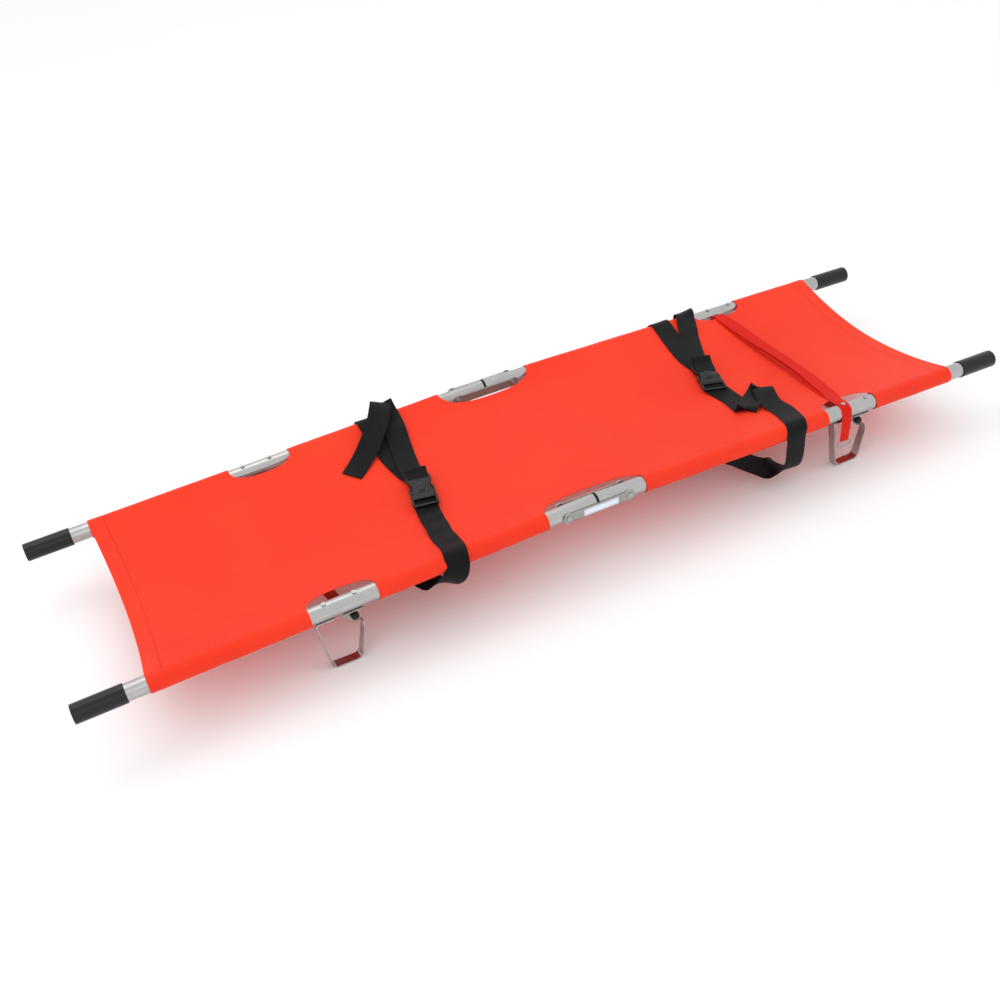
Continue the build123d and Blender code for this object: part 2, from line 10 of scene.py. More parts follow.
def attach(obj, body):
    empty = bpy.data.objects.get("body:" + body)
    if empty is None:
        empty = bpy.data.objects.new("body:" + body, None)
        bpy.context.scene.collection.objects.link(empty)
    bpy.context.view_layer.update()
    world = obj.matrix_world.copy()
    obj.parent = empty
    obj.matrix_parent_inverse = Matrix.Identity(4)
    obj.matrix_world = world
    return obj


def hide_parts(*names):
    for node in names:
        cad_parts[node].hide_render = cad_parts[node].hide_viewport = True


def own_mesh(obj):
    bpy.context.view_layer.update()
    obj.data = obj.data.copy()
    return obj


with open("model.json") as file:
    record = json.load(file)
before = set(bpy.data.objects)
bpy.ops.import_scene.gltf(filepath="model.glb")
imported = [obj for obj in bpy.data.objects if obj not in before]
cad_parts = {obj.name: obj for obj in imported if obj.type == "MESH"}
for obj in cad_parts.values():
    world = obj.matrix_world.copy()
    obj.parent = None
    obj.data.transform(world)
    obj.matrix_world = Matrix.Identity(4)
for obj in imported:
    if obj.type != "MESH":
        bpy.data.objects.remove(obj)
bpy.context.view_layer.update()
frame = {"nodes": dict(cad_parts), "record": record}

# ---- the stretcher's own sizes, metres, as in the CAD part ----------------------------------------
LINK_X, LINK_Z, POLE_Y = 0.070, 0.1535, 0.2535
CAMBER = radians(1.5)
SLEEVE_R = 0.0184          # middle of the sleeve's wall
BED_T = 0.0012
BED_END = 0.916
MID_CUT, CUT_MID_Y = 0.112, 0.210
FOOT_CUT, CUT_FOOT_Y = {-1: (0.475, 0.611), 1: (0.574, 0.704)}, 0.217
SAG = 0.018
CREASE_SAG = 0.005         # the bed is nearly flat over the hinge
INNER_Y = 0.18             # the bed's cross grid is even up to here
EDGE_Y = 0.248             # just inside each pole: webbing is cut here
STRAP_T, RED_T = 0.0016, 0.0014
STRAP_HALF = 24.0          # half width of the black webbing, mm
LIE_GAP = 0.0006           # what lies on the bed stays this far off it
SIDES = {"left": -1, "right": 1}
POLES = {"front": -1, "rear": 1}

# the line on which the bed's parabola touches the sleeve
slope = 0.28
for _ in range(20):
    TOUCH_Y = POLE_Y - SLEEVE_R * slope / sqrt(1 + slope * slope)
    slope = 2 * (SLEEVE_R / sqrt(1 + slope * slope) + SAG) / TOUCH_Y
RISE = slope / (2 * TOUCH_Y)


def smooth(t):
    t = np.clip(t, 0, 1)
    return t * t * (3 - 2 * t)


def place(side, x, y, up):
    """Points over the pole plane of a half: side -1 or 1, or 0 for the link in the middle."""
    x, y, up = (np.asarray(v, float) for v in (x, y, up))
    z = LINK_Z - side * tan(CAMBER) * (x - side * LINK_X) + up * cos(side * CAMBER)
    return np.stack([x + up * sin(side * CAMBER), y + 0 * x, z], axis=-1)


def bed_up(x, y):
    """Height of the bed's middle surface over the pole axes, with its slack waves."""
    a, b = np.abs(x), np.abs(y)
    outer = -SAG + RISE * y * y
    flat = CREASE_SAG * ((b / CUT_MID_Y) ** 2 - 1)
    flat = flat + (outer - flat) * smooth((b - INNER_Y) / (EDGE_Y - INNER_Y))
    open_part = smooth((a - LINK_X) / 0.13)
    waves = 0.50 * np.sin(9.3 * x + 3.1 * y + 0.4) + 0.30 * np.sin(17.1 * x - 11 * y + 1.7)
    waves += 0.20 * np.sin(31 * x + 23 * y + 0.6)
    slack = np.clip(1 - (b / TOUCH_Y) ** 2, 0, 1)
    return flat + (outer - flat) * open_part + 0.0016 * waves * slack * open_part


# ---- meshes ---------------------------------------------------------------------------------------
def finished(name, mesh, material, sharp):
    """Object of a closed mesh: faces outward, smooth but for edges sharper than the given degrees."""
    work = bmesh.new()
    work.from_mesh(mesh)
    bmesh.ops.recalc_face_normals(work, faces=work.faces)
    work.to_mesh(mesh)
    work.free()
    mesh.polygons.foreach_set("use_smooth", [True] * len(mesh.polygons))
    mesh.materials.append(material)
    mesh.update()
    made = bpy.data.objects.new(name, mesh)
    bpy.context.scene.collection.objects.link(made)
    mesh.set_sharp_from_angle(angle=radians(sharp))
    return made


def slab(name, centre, normal, thickness, uv, seam, material, wrap=False):
    """Closed thin solid round a grid of points. uv and seam are grids in metres; wrap joins its sides."""
    rows, cols = centre.shape[:2]
    half = (np.asarray(thickness)[..., None] / 2) * normal
    points = np.concatenate([(centre + half).reshape(-1, 3), (centre - half).reshape(-1, 3)])
    count = rows * cols
    faces = []
    last = cols if wrap else cols - 1
    for i in range(rows - 1):
        for j in range(last):
            k = (j + 1) % cols
            a, b, c, d = i * cols + j, i * cols + k, (i + 1) * cols + k, (i + 1) * cols + j
            faces += [(a, b, c, d), (count + d, count + c, count + b, count + a)]
    for j in range(last):
        k = (j + 1) % cols
        faces.append((j, count + j, count + k, k))
        base = (rows - 1) * cols
        faces.append((base + k, count + base + k, count + base + j, base + j))
    if not wrap:
        for i in range(rows - 1):
            a, b = i * cols, (i + 1) * cols
            faces.append((b, count + b, count + a, a))
            a, b = a + cols - 1, b + cols - 1
            faces.append((a, count + a, count + b, b))
    mesh = bpy.data.meshes.new(name)
    mesh.from_pydata(points.tolist(), [], faces)
    indices = np.empty(len(mesh.loops), int)
    mesh.loops.foreach_get("vertex_index", indices)
    for layer, values in (("weave", uv), ("seam", seam)):
        flat = values.reshape(-1, 2)[indices % count]
        mesh.uv_layers.new(name=layer).data.foreach_set("uv", flat.astype(np.float32).ravel())
    return finished(name, mesh, material, 50)


def grid_normals(points):
    along, over = np.gradient(points, axis=0), np.gradient(points, axis=1)
    normal = np.cross(along, over)
    normal /= np.linalg.norm(normal, axis=-1, keepdims=True)
    return normal * np.sign(normal[..., 2:3].mean())


# ---- node graphs ----------------------------------------------------------------------------------
class Graph:
    """One material: a Principled shader and short calls that add the nodes which feed it."""

    def __init__(self, name, **sockets):
        self.material = bpy.data.materials.new(name)
        self.material.use_nodes = True
        self.tree = self.material.node_tree
        self.tree.nodes.clear()
        self.shader = self.node("BsdfPrincipled", **sockets)
        end = self.node("OutputMaterial")
        self.tree.links.new(self.shader.outputs[0], end.inputs[0])

    def node(self, kind, props=None, **inputs):
        made = self.tree.nodes.new("ShaderNode" + kind)
        for key, value in (props or {}).items():
            setattr(made, key, value)
        for key, value in inputs.items():
            self.put(made.inputs[key.replace("_", " ")], value)
        return made

    def put(self, socket, value):
        if isinstance(value, bpy.types.NodeSocket):
            self.tree.links.new(value, socket)
        elif value is not None:
            if socket.type == "RGBA" and len(value) == 3:
                value = (*value, 1)
            socket.default_value = value

    def feed(self, name, value):
        self.put(self.shader.inputs[name], value)

    def math(self, operation, a, b=None, c=None):
        made = self.node("Math", {"operation": operation})
        for socket, value in zip(made.inputs, (a, b, c)):
            self.put(socket, value)
        return made.outputs[0]

    def mix(self, share, a, b):
        made = self.node("Mix", {"data_type": "RGBA"})
        self.put(made.inputs[0], share)
        self.put(made.inputs[6], a)
        self.put(made.inputs[7], b)
        return made.outputs[2]

    def span(self, value, low, high, to_low=0.0, to_high=1.0):
        made = self.node("MapRange", {"clamp": True})
        for socket, number in zip(made.inputs, (value, low, high, to_low, to_high)):
            self.put(socket, number)
        return made.outputs[0]

    def noise(self, where, scale, detail=3.0, roughness=0.55):
        made = self.node("TexNoise", Vector=where, Scale=scale, Detail=detail, Roughness=roughness)
        return made.outputs[0]

    def stretch(self, where, scale):
        made = self.node("Mapping", Vector=where, Scale=scale)
        return made.outputs[0]

    def piece(self):
        return self.node("TexCoord").outputs["Object"]

    def uv(self, layer):
        split = self.node("SeparateXYZ", Vector=self.node("UVMap", {"uv_map": layer}).outputs[0])
        return split.outputs[0], split.outputs[1]

    def bump(self, height, distance, under=None, strength=1.0):
        made = self.node("Bump", Height=height, Distance=distance, Strength=strength)
        if under is not None:
            self.put(made.inputs["Normal"], under)
        return made.outputs[0]

    def weave(self, pitch_u, pitch_v):
        """Plain weave: threads of both directions, each on top in its own squares."""
        u, v = self.uv("weave")
        a = self.math("SINE", self.math("MULTIPLY", u, pi / pitch_u))
        b = self.math("SINE", self.math("MULTIPLY", v, pi / pitch_v))
        over = self.math("GREATER_THAN", self.math("MULTIPLY", a, b), 0.0)
        warp = self.math("MULTIPLY", self.math("ABSOLUTE", a), over)
        weft = self.math("MULTIPLY", self.math("ABSOLUTE", b), self.math("SUBTRACT", 1.0, over))
        return self.math("ADD", warp, weft)

    def stitches(self, length, width, fill=0.68):
        """1 on the thread of a row of stitches, where the seam layer's first number is near 0."""
        off, run = self.uv("seam")
        beside = self.math("LESS_THAN", self.math("ABSOLUTE", off), width / 2)
        part = self.math("FRACT", self.math("DIVIDE", run, length))
        return self.math("MULTIPLY", beside, self.math("LESS_THAN", part, fill))


def cloth(name, colours, thread, pitch, depth, roughness, sheen, sheen_tint, specular):
    """Woven cloth. colours are two of the thread and one of painted shade for the gaps between threads;
    thread is the stitches' colour.
    """
    g = Graph(name, Sheen_Weight=sheen, Sheen_Roughness=0.45, Sheen_Tint=sheen_tint,
              Specular_IOR_Level=specular)
    where = g.piece()
    threads = g.weave(*pitch)
    broad = g.noise(where, 5.0, 4.0)
    fine = g.noise(where, 160.0, 2.0)
    colour = g.mix(g.span(broad, 0.35, 0.65), colours[0], colours[1])
    # painted shade: the cloth darkens towards its third colour in the gaps between the threads
    colour = g.mix(g.span(threads, 0.0, 0.55, 0.22, 0.0), colour, colours[2])
    sewn = g.stitches(0.0036, 0.0011)
    colour = g.mix(sewn, colour, thread)
    g.feed("Base Color", colour)
    g.feed("Roughness", g.span(fine, 0.3, 0.7, roughness - 0.06, roughness + 0.07))
    off, _ = g.uv("seam")
    groove = g.span(g.math("ABSOLUTE", off), 0.0, 0.003, 0.0, 1.0)
    waves = g.bump(g.noise(where, 14.0, 2.0), 0.0012, strength=0.55)
    pulled = g.bump(groove, 0.0006, waves)
    woven = g.bump(threads, depth, pulled)
    g.feed("Normal", g.bump(sewn, 0.0004, woven))
    return g.material


def metal(name, colour, roughness, along, scale, scratch, grime=0.25):
    """Brushed metal. along is the direction of the brushing, as the three scales of its noise."""
    g = Graph(name, Metallic=1.0, IOR=1.45)
    where = g.piece()
    brushed = g.noise(g.stretch(where, along), scale, 4.0, 0.7)
    cloudy = g.noise(where, 26.0, 4.0)
    marks = g.noise(g.stretch(where, tuple(0.25 * s for s in along)), scale * 2.2, 2.0, 0.5)
    dull = tuple(0.62 * c for c in colour)
    base = g.mix(g.span(brushed, 0.3, 0.7, 0.0, 0.35), colour, dull)
    base = g.mix(g.span(cloudy, 0.5, 0.78, 0.0, grime), base, tuple(0.45 * c for c in colour))
    worn = g.span(marks, 0.66, 0.72, 0.0, scratch)
    base = g.mix(worn, base, tuple(min(1.0, 1.25 * c) for c in colour))
    g.feed("Base Color", base)
    rough = g.span(brushed, 0.25, 0.75, roughness - 0.08, roughness + 0.10)
    g.feed("Roughness", g.math("ADD", rough, g.span(cloudy, 0.5, 0.8, 0.0, 0.14)))
    fine = g.bump(brushed, 0.00006)
    g.feed("Normal", g.bump(cloudy, 0.0003, fine, 0.2))
    return g.material


def moulded(name, colour, worn, roughness, grain, depth, coat=0.0, coat_roughness=0.2, specular=0.5):
    """Rubber or plastic: fine grain, scuffed patches and a little dust."""
    g = Graph(name, Coat_Weight=coat, Coat_Roughness=coat_roughness, Specular_IOR_Level=specular)
    where = g.piece()
    grainy = g.noise(where, grain, 2.0)
    patch = g.noise(where, 38.0, 5.0, 0.65)
    scuffs = g.noise(g.stretch(where, (1.0, 7.0, 5.0)), 90.0, 3.0, 0.7)
    rubbed = g.math("MULTIPLY", g.span(patch, 0.48, 0.70), g.span(scuffs, 0.45, 0.75))
    g.feed("Base Color", g.mix(rubbed, colour, worn))
    base = g.span(patch, 0.3, 0.7, roughness - 0.05, roughness + 0.08)
    g.feed("Roughness", g.math("ADD", base, g.math("MULTIPLY", rubbed, 0.18)))
    g.feed("Normal", g.bump(grainy, depth, g.bump(scuffs, 0.00008, None, 0.5)))
    return g.material


def label_film():
    """Blank film with a thin printed border and a faintly uneven gloss."""
    g = Graph("label_film_print", Coat_Weight=0.5, Coat_Roughness=0.12)
    where = g.piece()
    split = g.node("SeparateXYZ", Vector=where)
    middle_x, middle_z = 0.004, LINK_Z - 0.0005
    half_x, half_z, line = 0.0375, 0.0055, 0.0004
    from_x = g.math("ABSOLUTE", g.math("SUBTRACT", split.outputs[0], middle_x))
    from_z = g.math("ABSOLUTE", g.math("SUBTRACT", split.outputs[2], middle_z))
    inside = g.math("MAXIMUM", g.math("SUBTRACT", from_x, half_x), g.math("SUBTRACT", from_z, half_z))
    border = g.math("LESS_THAN", g.math("ABSOLUTE", inside), line)
    paper = g.mix(g.span(g.noise(where, 60.0), 0.3, 0.7), (0.80, 0.84, 0.92), (0.70, 0.74, 0.84))
    g.feed("Base Color", g.mix(border, paper, (0.30, 0.36, 0.52)))
    g.feed("Roughness", g.span(g.noise(where, 30.0), 0.3, 0.7, 0.28, 0.42))
    return g.material


# the third colour of each cloth below is painted shade for the gaps of its weave
RED = ((0.93, 0.044, 0.0125), (0.90, 0.036, 0.0105), (0.56, 0.014, 0.004))
FABRIC = cloth("bed_fabric_woven", RED, (0.60, 0.012, 0.004), (0.00055, 0.00055), 0.00010, 0.50,
               0.02, (1.0, 0.45, 0.3, 1), 0.16)
RED_TAPE = cloth("red_webbing_woven",
                 ((0.84, 0.014, 0.005), (0.74, 0.011, 0.004), (0.40, 0.005, 0.002)),
                 (0.60, 0.012, 0.005), (0.0024, 0.0011), 0.00032, 0.58, 0.02, (1.0, 0.4, 0.3, 1), 0.12)
BLACK_TAPE = cloth("black_webbing_woven",
                   ((0.0042, 0.0042, 0.0050), (0.0032, 0.0032, 0.0038), (0.0014, 0.0014, 0.0016)),
                   (0.009, 0.009, 0.010), (0.0028, 0.0012), 0.00034, 0.46,
                   0.02, (0.7, 0.75, 0.9, 1), 0.14)
LENGTHWISE = (1.0, 34.0, 34.0)
FINISH = {
    "anodised_tube": metal("anodised_tube_brushed", (0.50, 0.495, 0.485), 0.27, LENGTHWISE, 26.0, 0.3),
    "plate_metal": metal("plate_satin", (0.38, 0.38, 0.355), 0.33, (1.0, 22.0, 22.0), 34.0, 0.4),
    "foot_strip": metal("foot_strip_polished", (0.50, 0.49, 0.485), 0.22, (1.0, 26.0, 1.0), 30.0,
                        0.3, 0.2),
    "spreader_metal": metal("spreader_satin", (0.53, 0.525, 0.52), 0.34, (9.0, 1.0, 9.0), 36.0,
                            0.5, 0.35),
    "zinc_fasteners": metal("zinc_plate", (0.44, 0.45, 0.47), 0.27, (6.0, 6.0, 6.0), 60.0, 0.3, 0.4),
    "grip_rubber": moulded("grip_gloss", (0.0050, 0.0050, 0.0070), (0.012, 0.012, 0.015), 0.30, 900.0,
                           0.00004, coat=0.12, coat_roughness=0.20, specular=0.30),
    "black_rubber": moulded("black_rubber_matt", (0.007, 0.007, 0.008), (0.02, 0.02, 0.02), 0.56, 700.0,
                            0.00008, specular=0.25),
    "buckle_plastic": moulded("buckle_moulded", (0.0045, 0.0045, 0.0055), (0.013, 0.013, 0.016), 0.30,
                              1400.0, 0.00005, specular=0.30),
    "label_film": label_film(),
}
SOFT_SLOTS = {"bed_fabric": FABRIC, "red_webbing": RED_TAPE, "black_webbing": BLACK_TAPE}

slots = {item["node"]: item["material_slot"] for item in frame["record"]["subparts"]}
for node, obj in frame["nodes"].items():
    obj.data.materials.clear()
    obj.data.materials.append(FINISH.get(slots[node]) or SOFT_SLOTS[slots[node]])


# ---- bed ------------------------------------------------------------------------------------------
def edge_y(side, x):
    """Half width of the bed at x: the line on the sleeve, or the edge of a cut-out."""
    for start, stop, deep in ((-MID_CUT, MID_CUT, CUT_MID_Y), (*FOOT_CUT[side], CUT_FOOT_Y)):
        if start < abs(x) < stop:
            u = abs(2 * abs(x) - start - stop) / (stop - start)
            return TOUCH_Y - (TOUCH_Y - deep) * (1 - u**2.8) ** (1 / 1.9)
    return TOUCH_Y


def stations(breaks):
    """Distances along the bed: even steps, and close ones where a cut-out begins and ends."""
    found = []
    for start, stop, cut in breaks:
        n = 28 if cut else max(2, ceil((stop - start) / 0.016))
        share = np.linspace(0, 1, n + 1)
        if cut:
            share = 0.5 - 0.5 * np.cos(pi * share)
        found += list(start + (stop - start) * share)
    return np.array(sorted(found))


HEM = 0.034                # width of the hem at the bed's ends
BOW = {-1: 0.009, 0: 0.0, 1: 0.004}     # how far the middle of each end is drawn in


def bed_sheet(name, side, along, body, nodes):
    """One panel of the bed at the given distances along it; side 0 is the panel over the hinge."""
    inner = np.linspace(-INNER_Y, INNER_Y, 37)
    rows_x, rows_y = [], []
    for a in along:
        x = a if side == 0 else side * a
        reach = edge_y(side or 1, x)
        outer = np.linspace(INNER_Y, reach, 9)[1:]
        rows_y.append(np.concatenate([-outer[::-1], inner, outer]))
        rows_x.append(np.full(len(rows_y[-1]), x))
    x, y = np.array(rows_x), np.array(rows_y)
    up = bed_up(x, y)
    end = BED_END - np.abs(x)
    bowed = x - side * BOW[side] * (1 - (y / TOUCH_Y) ** 2) * smooth((0.12 - end) / 0.12)
    centre = place(side, bowed, y, up)
    thick = BED_T + 0.0009 * smooth((HEM + 0.002 - end) / 0.003)
    sheet = slab(name, centre, grid_normals(centre), thick, np.stack([x, y], -1),
                 np.stack([end - HEM + 0.002, y], -1), FABRIC)
    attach(sheet, body)
    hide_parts(*nodes)
    reach = y[:, -1]
    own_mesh(sheet)


for word, side in SIDES.items():
    near, far = FOOT_CUT[side]
    bit = 1e-4
    breaks = [(LINK_X, MID_CUT - bit, False), (MID_CUT + bit, near - bit, False),
              (near + bit, far - bit, True), (far + bit, BED_END - HEM - 0.004, False),
              (BED_END - HEM, BED_END, False)]
    bed_sheet(f"bed_cloth_{word}", side, stations(breaks), f"front_{word}", [f"bed_panel_{word}"])
bed_sheet("bed_cloth_middle", 0, np.linspace(-LINK_X, LINK_X, 19), "front_link", ["bed_panel_middle"])


def sleeve(pole, word):
    """The bed's cloth round one half pole, in two runs, with the lapped seam under the inner side."""
    side, way = SIDES[word], POLES[pole]
    near, far = FOOT_CUT[side]
    turns = 56                           # points round the tube
    angle = np.linspace(0, 2 * pi, turns, endpoint=False)
    pieces = []
    for start, stop in ((MID_CUT, near), (far, BED_END)):
        n = ceil((stop - start) / 0.012)
        x = side * np.repeat(np.linspace(start, stop, n + 1)[:, None], turns, 1)
        theta = np.repeat(angle[None, :], n + 1, 0)
        # 0 is the inner side, pi / 2 the top
        seam_at = radians(292)
        lap = smooth((theta - seam_at + 0.16) / 0.05) * (theta < radians(345))
        ripple = 0.00022 * np.sin(41 * x + 3 * theta) + 0.00016 * np.sin(97 * x - 5 * theta)
        radius = SLEEVE_R + 0.0006 * lap + ripple * (1 - smooth((np.sin(theta) - 0.75) / 0.2))
        y = way * (POLE_Y - radius * np.cos(theta))
        centre = place(side, x, y, radius * np.sin(theta))
        middle = place(side, x, np.full_like(x, way * POLE_Y), np.zeros_like(x))
        normal = centre - middle
        normal /= np.linalg.norm(normal, axis=-1, keepdims=True)
        end = stop - np.abs(x)
        thick = BED_T + 0.0006 * smooth((HEM - end) / 0.003) * (stop == BED_END)
        thick = np.broadcast_to(thick, x.shape)
        seam = np.stack([(theta - seam_at) * SLEEVE_R + 0.0015, x], -1)
        pieces.append((centre, normal, thick, np.stack([x, theta * SLEEVE_R], -1), seam))
    runs = [slab(f"sleeve_{pole}_{word}_{n}", *grids, FABRIC, wrap=True)
            for n, grids in enumerate(pieces)]
    for n, run in enumerate(runs):
        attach(run, f"{pole}_{word}")
    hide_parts(f"{pole}_{word}_sleeve")


for pole in POLES:
    for word in SIDES:
        sleeve(pole, word)


# ---- webbing --------------------------------------------------------------------------------------
def strip_rows(control, step=0.0055):
    """Catmull-Rom rows through control rows."""
    c = np.array(control, float)
    p = np.vstack([2 * c[0] - c[1], c, 2 * c[-1] - c[-2]])
    rows = []
    for a, b, d, e in zip(p[:-3], p[1:-2], p[2:-1], p[3:]):
        n = max(2, ceil(np.linalg.norm(d[:3] - b[:3]) / step))
        for t in np.arange(n) / n:
            rows.append(0.5 * (2 * b + (d - a) * t + (2 * a - 5 * b + 4 * d - e) * t * t
                               + (3 * b - a - 3 * d + e) * t**3))
    rows.append(c[-1])
    return np.array(rows)


def webbing(names, side, control, slot_name, thickness=STRAP_T):
    """A tape through control rows (x, y, up, turn, tilt, on_bed), in mm and degrees.

    A seventh number is the half width there, if it isn't STRAP_HALF. on_bed 1 measures up from the
    bed's upper face and -1 down from its lower one. The tape is cut at the lines y = +-EDGE_Y, and
    names gives each piece's (name, body, nodes) in order.
    """
    table = []
    for x, y, up, turn, tilt, on_bed, *own in control:
        half = own[0] if own else STRAP_HALF
        x, y, up = x / 1000, y / 1000, up / 1000
        if on_bed:
            up = float(bed_up(x, y)) + on_bed * (BED_T / 2 + thickness / 2 + up)
        lean = 2 * RISE * y * sin(radians(turn)) * abs(on_bed)
        width = Vector((cos(radians(turn)) * cos(radians(tilt)), sin(radians(turn)) * cos(radians(tilt)),
                        sin(radians(tilt)) + lean)).normalized() * half / 1000
        table.append([x, y, up, *width, on_bed])
    rows = strip_rows(table)
    x, y, up, on_bed = rows[:, 0], rows[:, 1], rows[:, 2].copy(), rows[:, 6]
    surface = bed_up(x, y)
    room = BED_T / 2 + thickness / 2 + LIE_GAP
    over, under = on_bed > 0.98, on_bed < -0.98
    up[over] = np.maximum(up[over], (surface + room)[over])
    up[under] = np.minimum(up[under], (surface - room)[under])
    centre = place(side, x, y, up)
    tangent = np.gradient(centre, axis=0)
    tangent /= np.linalg.norm(tangent, axis=1, keepdims=True)
    width = rows[:, 3:6]
    size = np.linalg.norm(width, axis=1, keepdims=True)
    width = width - (width * tangent).sum(1, keepdims=True) * tangent
    width *= size / np.linalg.norm(width, axis=1, keepdims=True)
    normal = np.cross(tangent, width)
    normal /= np.linalg.norm(normal, axis=1, keepdims=True)
    run = np.concatenate([[0], np.cumsum(np.linalg.norm(np.diff(centre, axis=0), axis=1))])
    across = np.linspace(-1, 1, 13)
    grid = centre[:, None, :] + across[None, :, None] * width[:, None, :]
    cup = 0.0005 * np.sin(run * 21.0 + 0.7)         # the edges lift and sink a little along it
    grid = grid + normal[:, None, :] * (cup[:, None] * (across[None, :] ** 2))[..., None]
    normals = np.repeat(normal[:, None, :], len(across), 1)
    thick = thickness * (1 - 0.45 * np.abs(across) ** 10)
    thick = np.repeat(thick[None, :], len(run), 0)
    uv = np.stack([across[None, :] * size, np.repeat(run[:, None], len(across), 1)], -1)
    no_stitches = 0.02                              # keeps the seam layer clear of its zero line
    seam = np.stack([(1 - np.abs(across[None, :])) * size + no_stitches,
                     np.repeat(run[:, None], len(across), 1)], -1)
    zone = np.where(y > EDGE_Y, 1, np.where(y < -EDGE_Y, -1, 0))
    cuts = [0, *(np.flatnonzero(np.diff(zone)) + 1), len(run) - 1]
    assert len(names) == len(cuts) - 1, (names[0][0], len(names), len(cuts) - 1)
    for (name, body, nodes), start, stop in zip(names, cuts[:-1], cuts[1:]):
        part = slice(start, stop + 1)
        tape = slab(name, grid[part], normals[part], thick[part], uv[part], seam[part],
                    SOFT_SLOTS[slot_name])
        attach(tape, body)
        if nodes:
            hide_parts(*nodes)
        if zone[(start + stop) // 2] == 0 and body.startswith("front"):
            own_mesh(tape)


# left strap: from the buckle over the front pole, back under the bed, round the rear pole to the buckle
webbing(
    [("strap_left_lower", "front_left", ["strap_left"]), ("strap_left_hang", "front_left", []),
     ("strap_left_under", "front_left", []), ("strap_left_wrap", "rear_left", ["strap_left_rear_loop"]),
     ("strap_left_strand", "front_left", [])],
    -1,
    [(-284, -44, 10.5, -11, 0, 1), (-287, -58, 8.0, -9, 0, 1),
     (-291, -80, 2.4, -6, 3, 1), (-295, -102, 5.0, -4, 2, 1),
     (-297, -124, 1.2, -4, 0, 1), (-300, -148, 4.6, -4, -3, 1), (-304, -174, 1.0, 0, 0, 1),
     (-306, -200, 3.4, 2, 3, 1), (-306, -224, 1.2, -1, 0, 1), (-309, -248, 2.4, -6, 0, 1),
     (-312, -263, 19.5, -10, 0, 0), (-315, -274, 9, -12, 0, 0), (-319, -279, -7, -16, 0, 0),
     (-327, -277, -24, -20, 0, 0), (-340, -266, -38, -24, 0, 0), (-356, -248, -44, -28, 0, 0),
     (-372, -226, -40, -28, 0, 0), (-384, -200, -30, -26, 0, 0), (-388, -165, 6, -20, 0, -1),
     (-376, -100, 3, -16, 0, -1), (-350, -10, 2, -16, 0, -1), (-318, 100, 2, -14, 0, -1),
     (-294, 205, 3, -8, 0, -1), (-291, 232, -12, -3, 0, 0), (-290, 253.5, -20.9, 0, 0, 0),
     (-289, 268.3, -14.8, 0, 0, 0), (-289, 274.4, 0, 0, 0, 0), (-288, 269, 15.4, 0, 0, 0),
     (-288, 254, 22.2, 0, 0, 0), (-288, 236, 17.6, 0, 0, 0), (-287, 214, 1.6, 0, 0, 1),
     (-287, 170, 1.0, -2, 0, 1), (-284, 120, 1.0, -5, 0, 1), (-275, 66, 1.4, -9, 0, 1),
     (-268, 36, 6.0, -10, 0, 1)],
    "black_webbing")
# its other strand stands up at the rear pole and comes back down as the loose end
webbing(
    [("strap_left_second", "front_left", []), ("strap_left_crest", "rear_left", []),
     ("strap_left_tail", "front_left", [])],
    -1,
    [(-268, 34, 8.4, -10, 0, 1), (-267, 66, 4.4, -9, 0, 1), (-260, 112, 3.6, -10, 0, 1),
     (-251, 160, 5.0, -10, 0, 1), (-243, 200, 9, -10, -2, 1), (-239, 228, 18, -9, -6, 0),
     (-238, 250, 26, -9, -11, 0), (-239, 264, 34, -9, -15, 0), (-242, 268, 42, -10, -17, 0),
     (-247, 260, 48, -13, -16, 0), (-257, 240, 47, -18, -10, 0), (-275, 214, 37, -25, -4, 0),
     (-300, 186, 20, -34, 0, 1), (-327, 162, 10, -40, 0, 1), (-354, 140, 4, -46, 0, 1),
     (-382, 118, 1.0, -50, 0, 1)],
    "black_webbing")
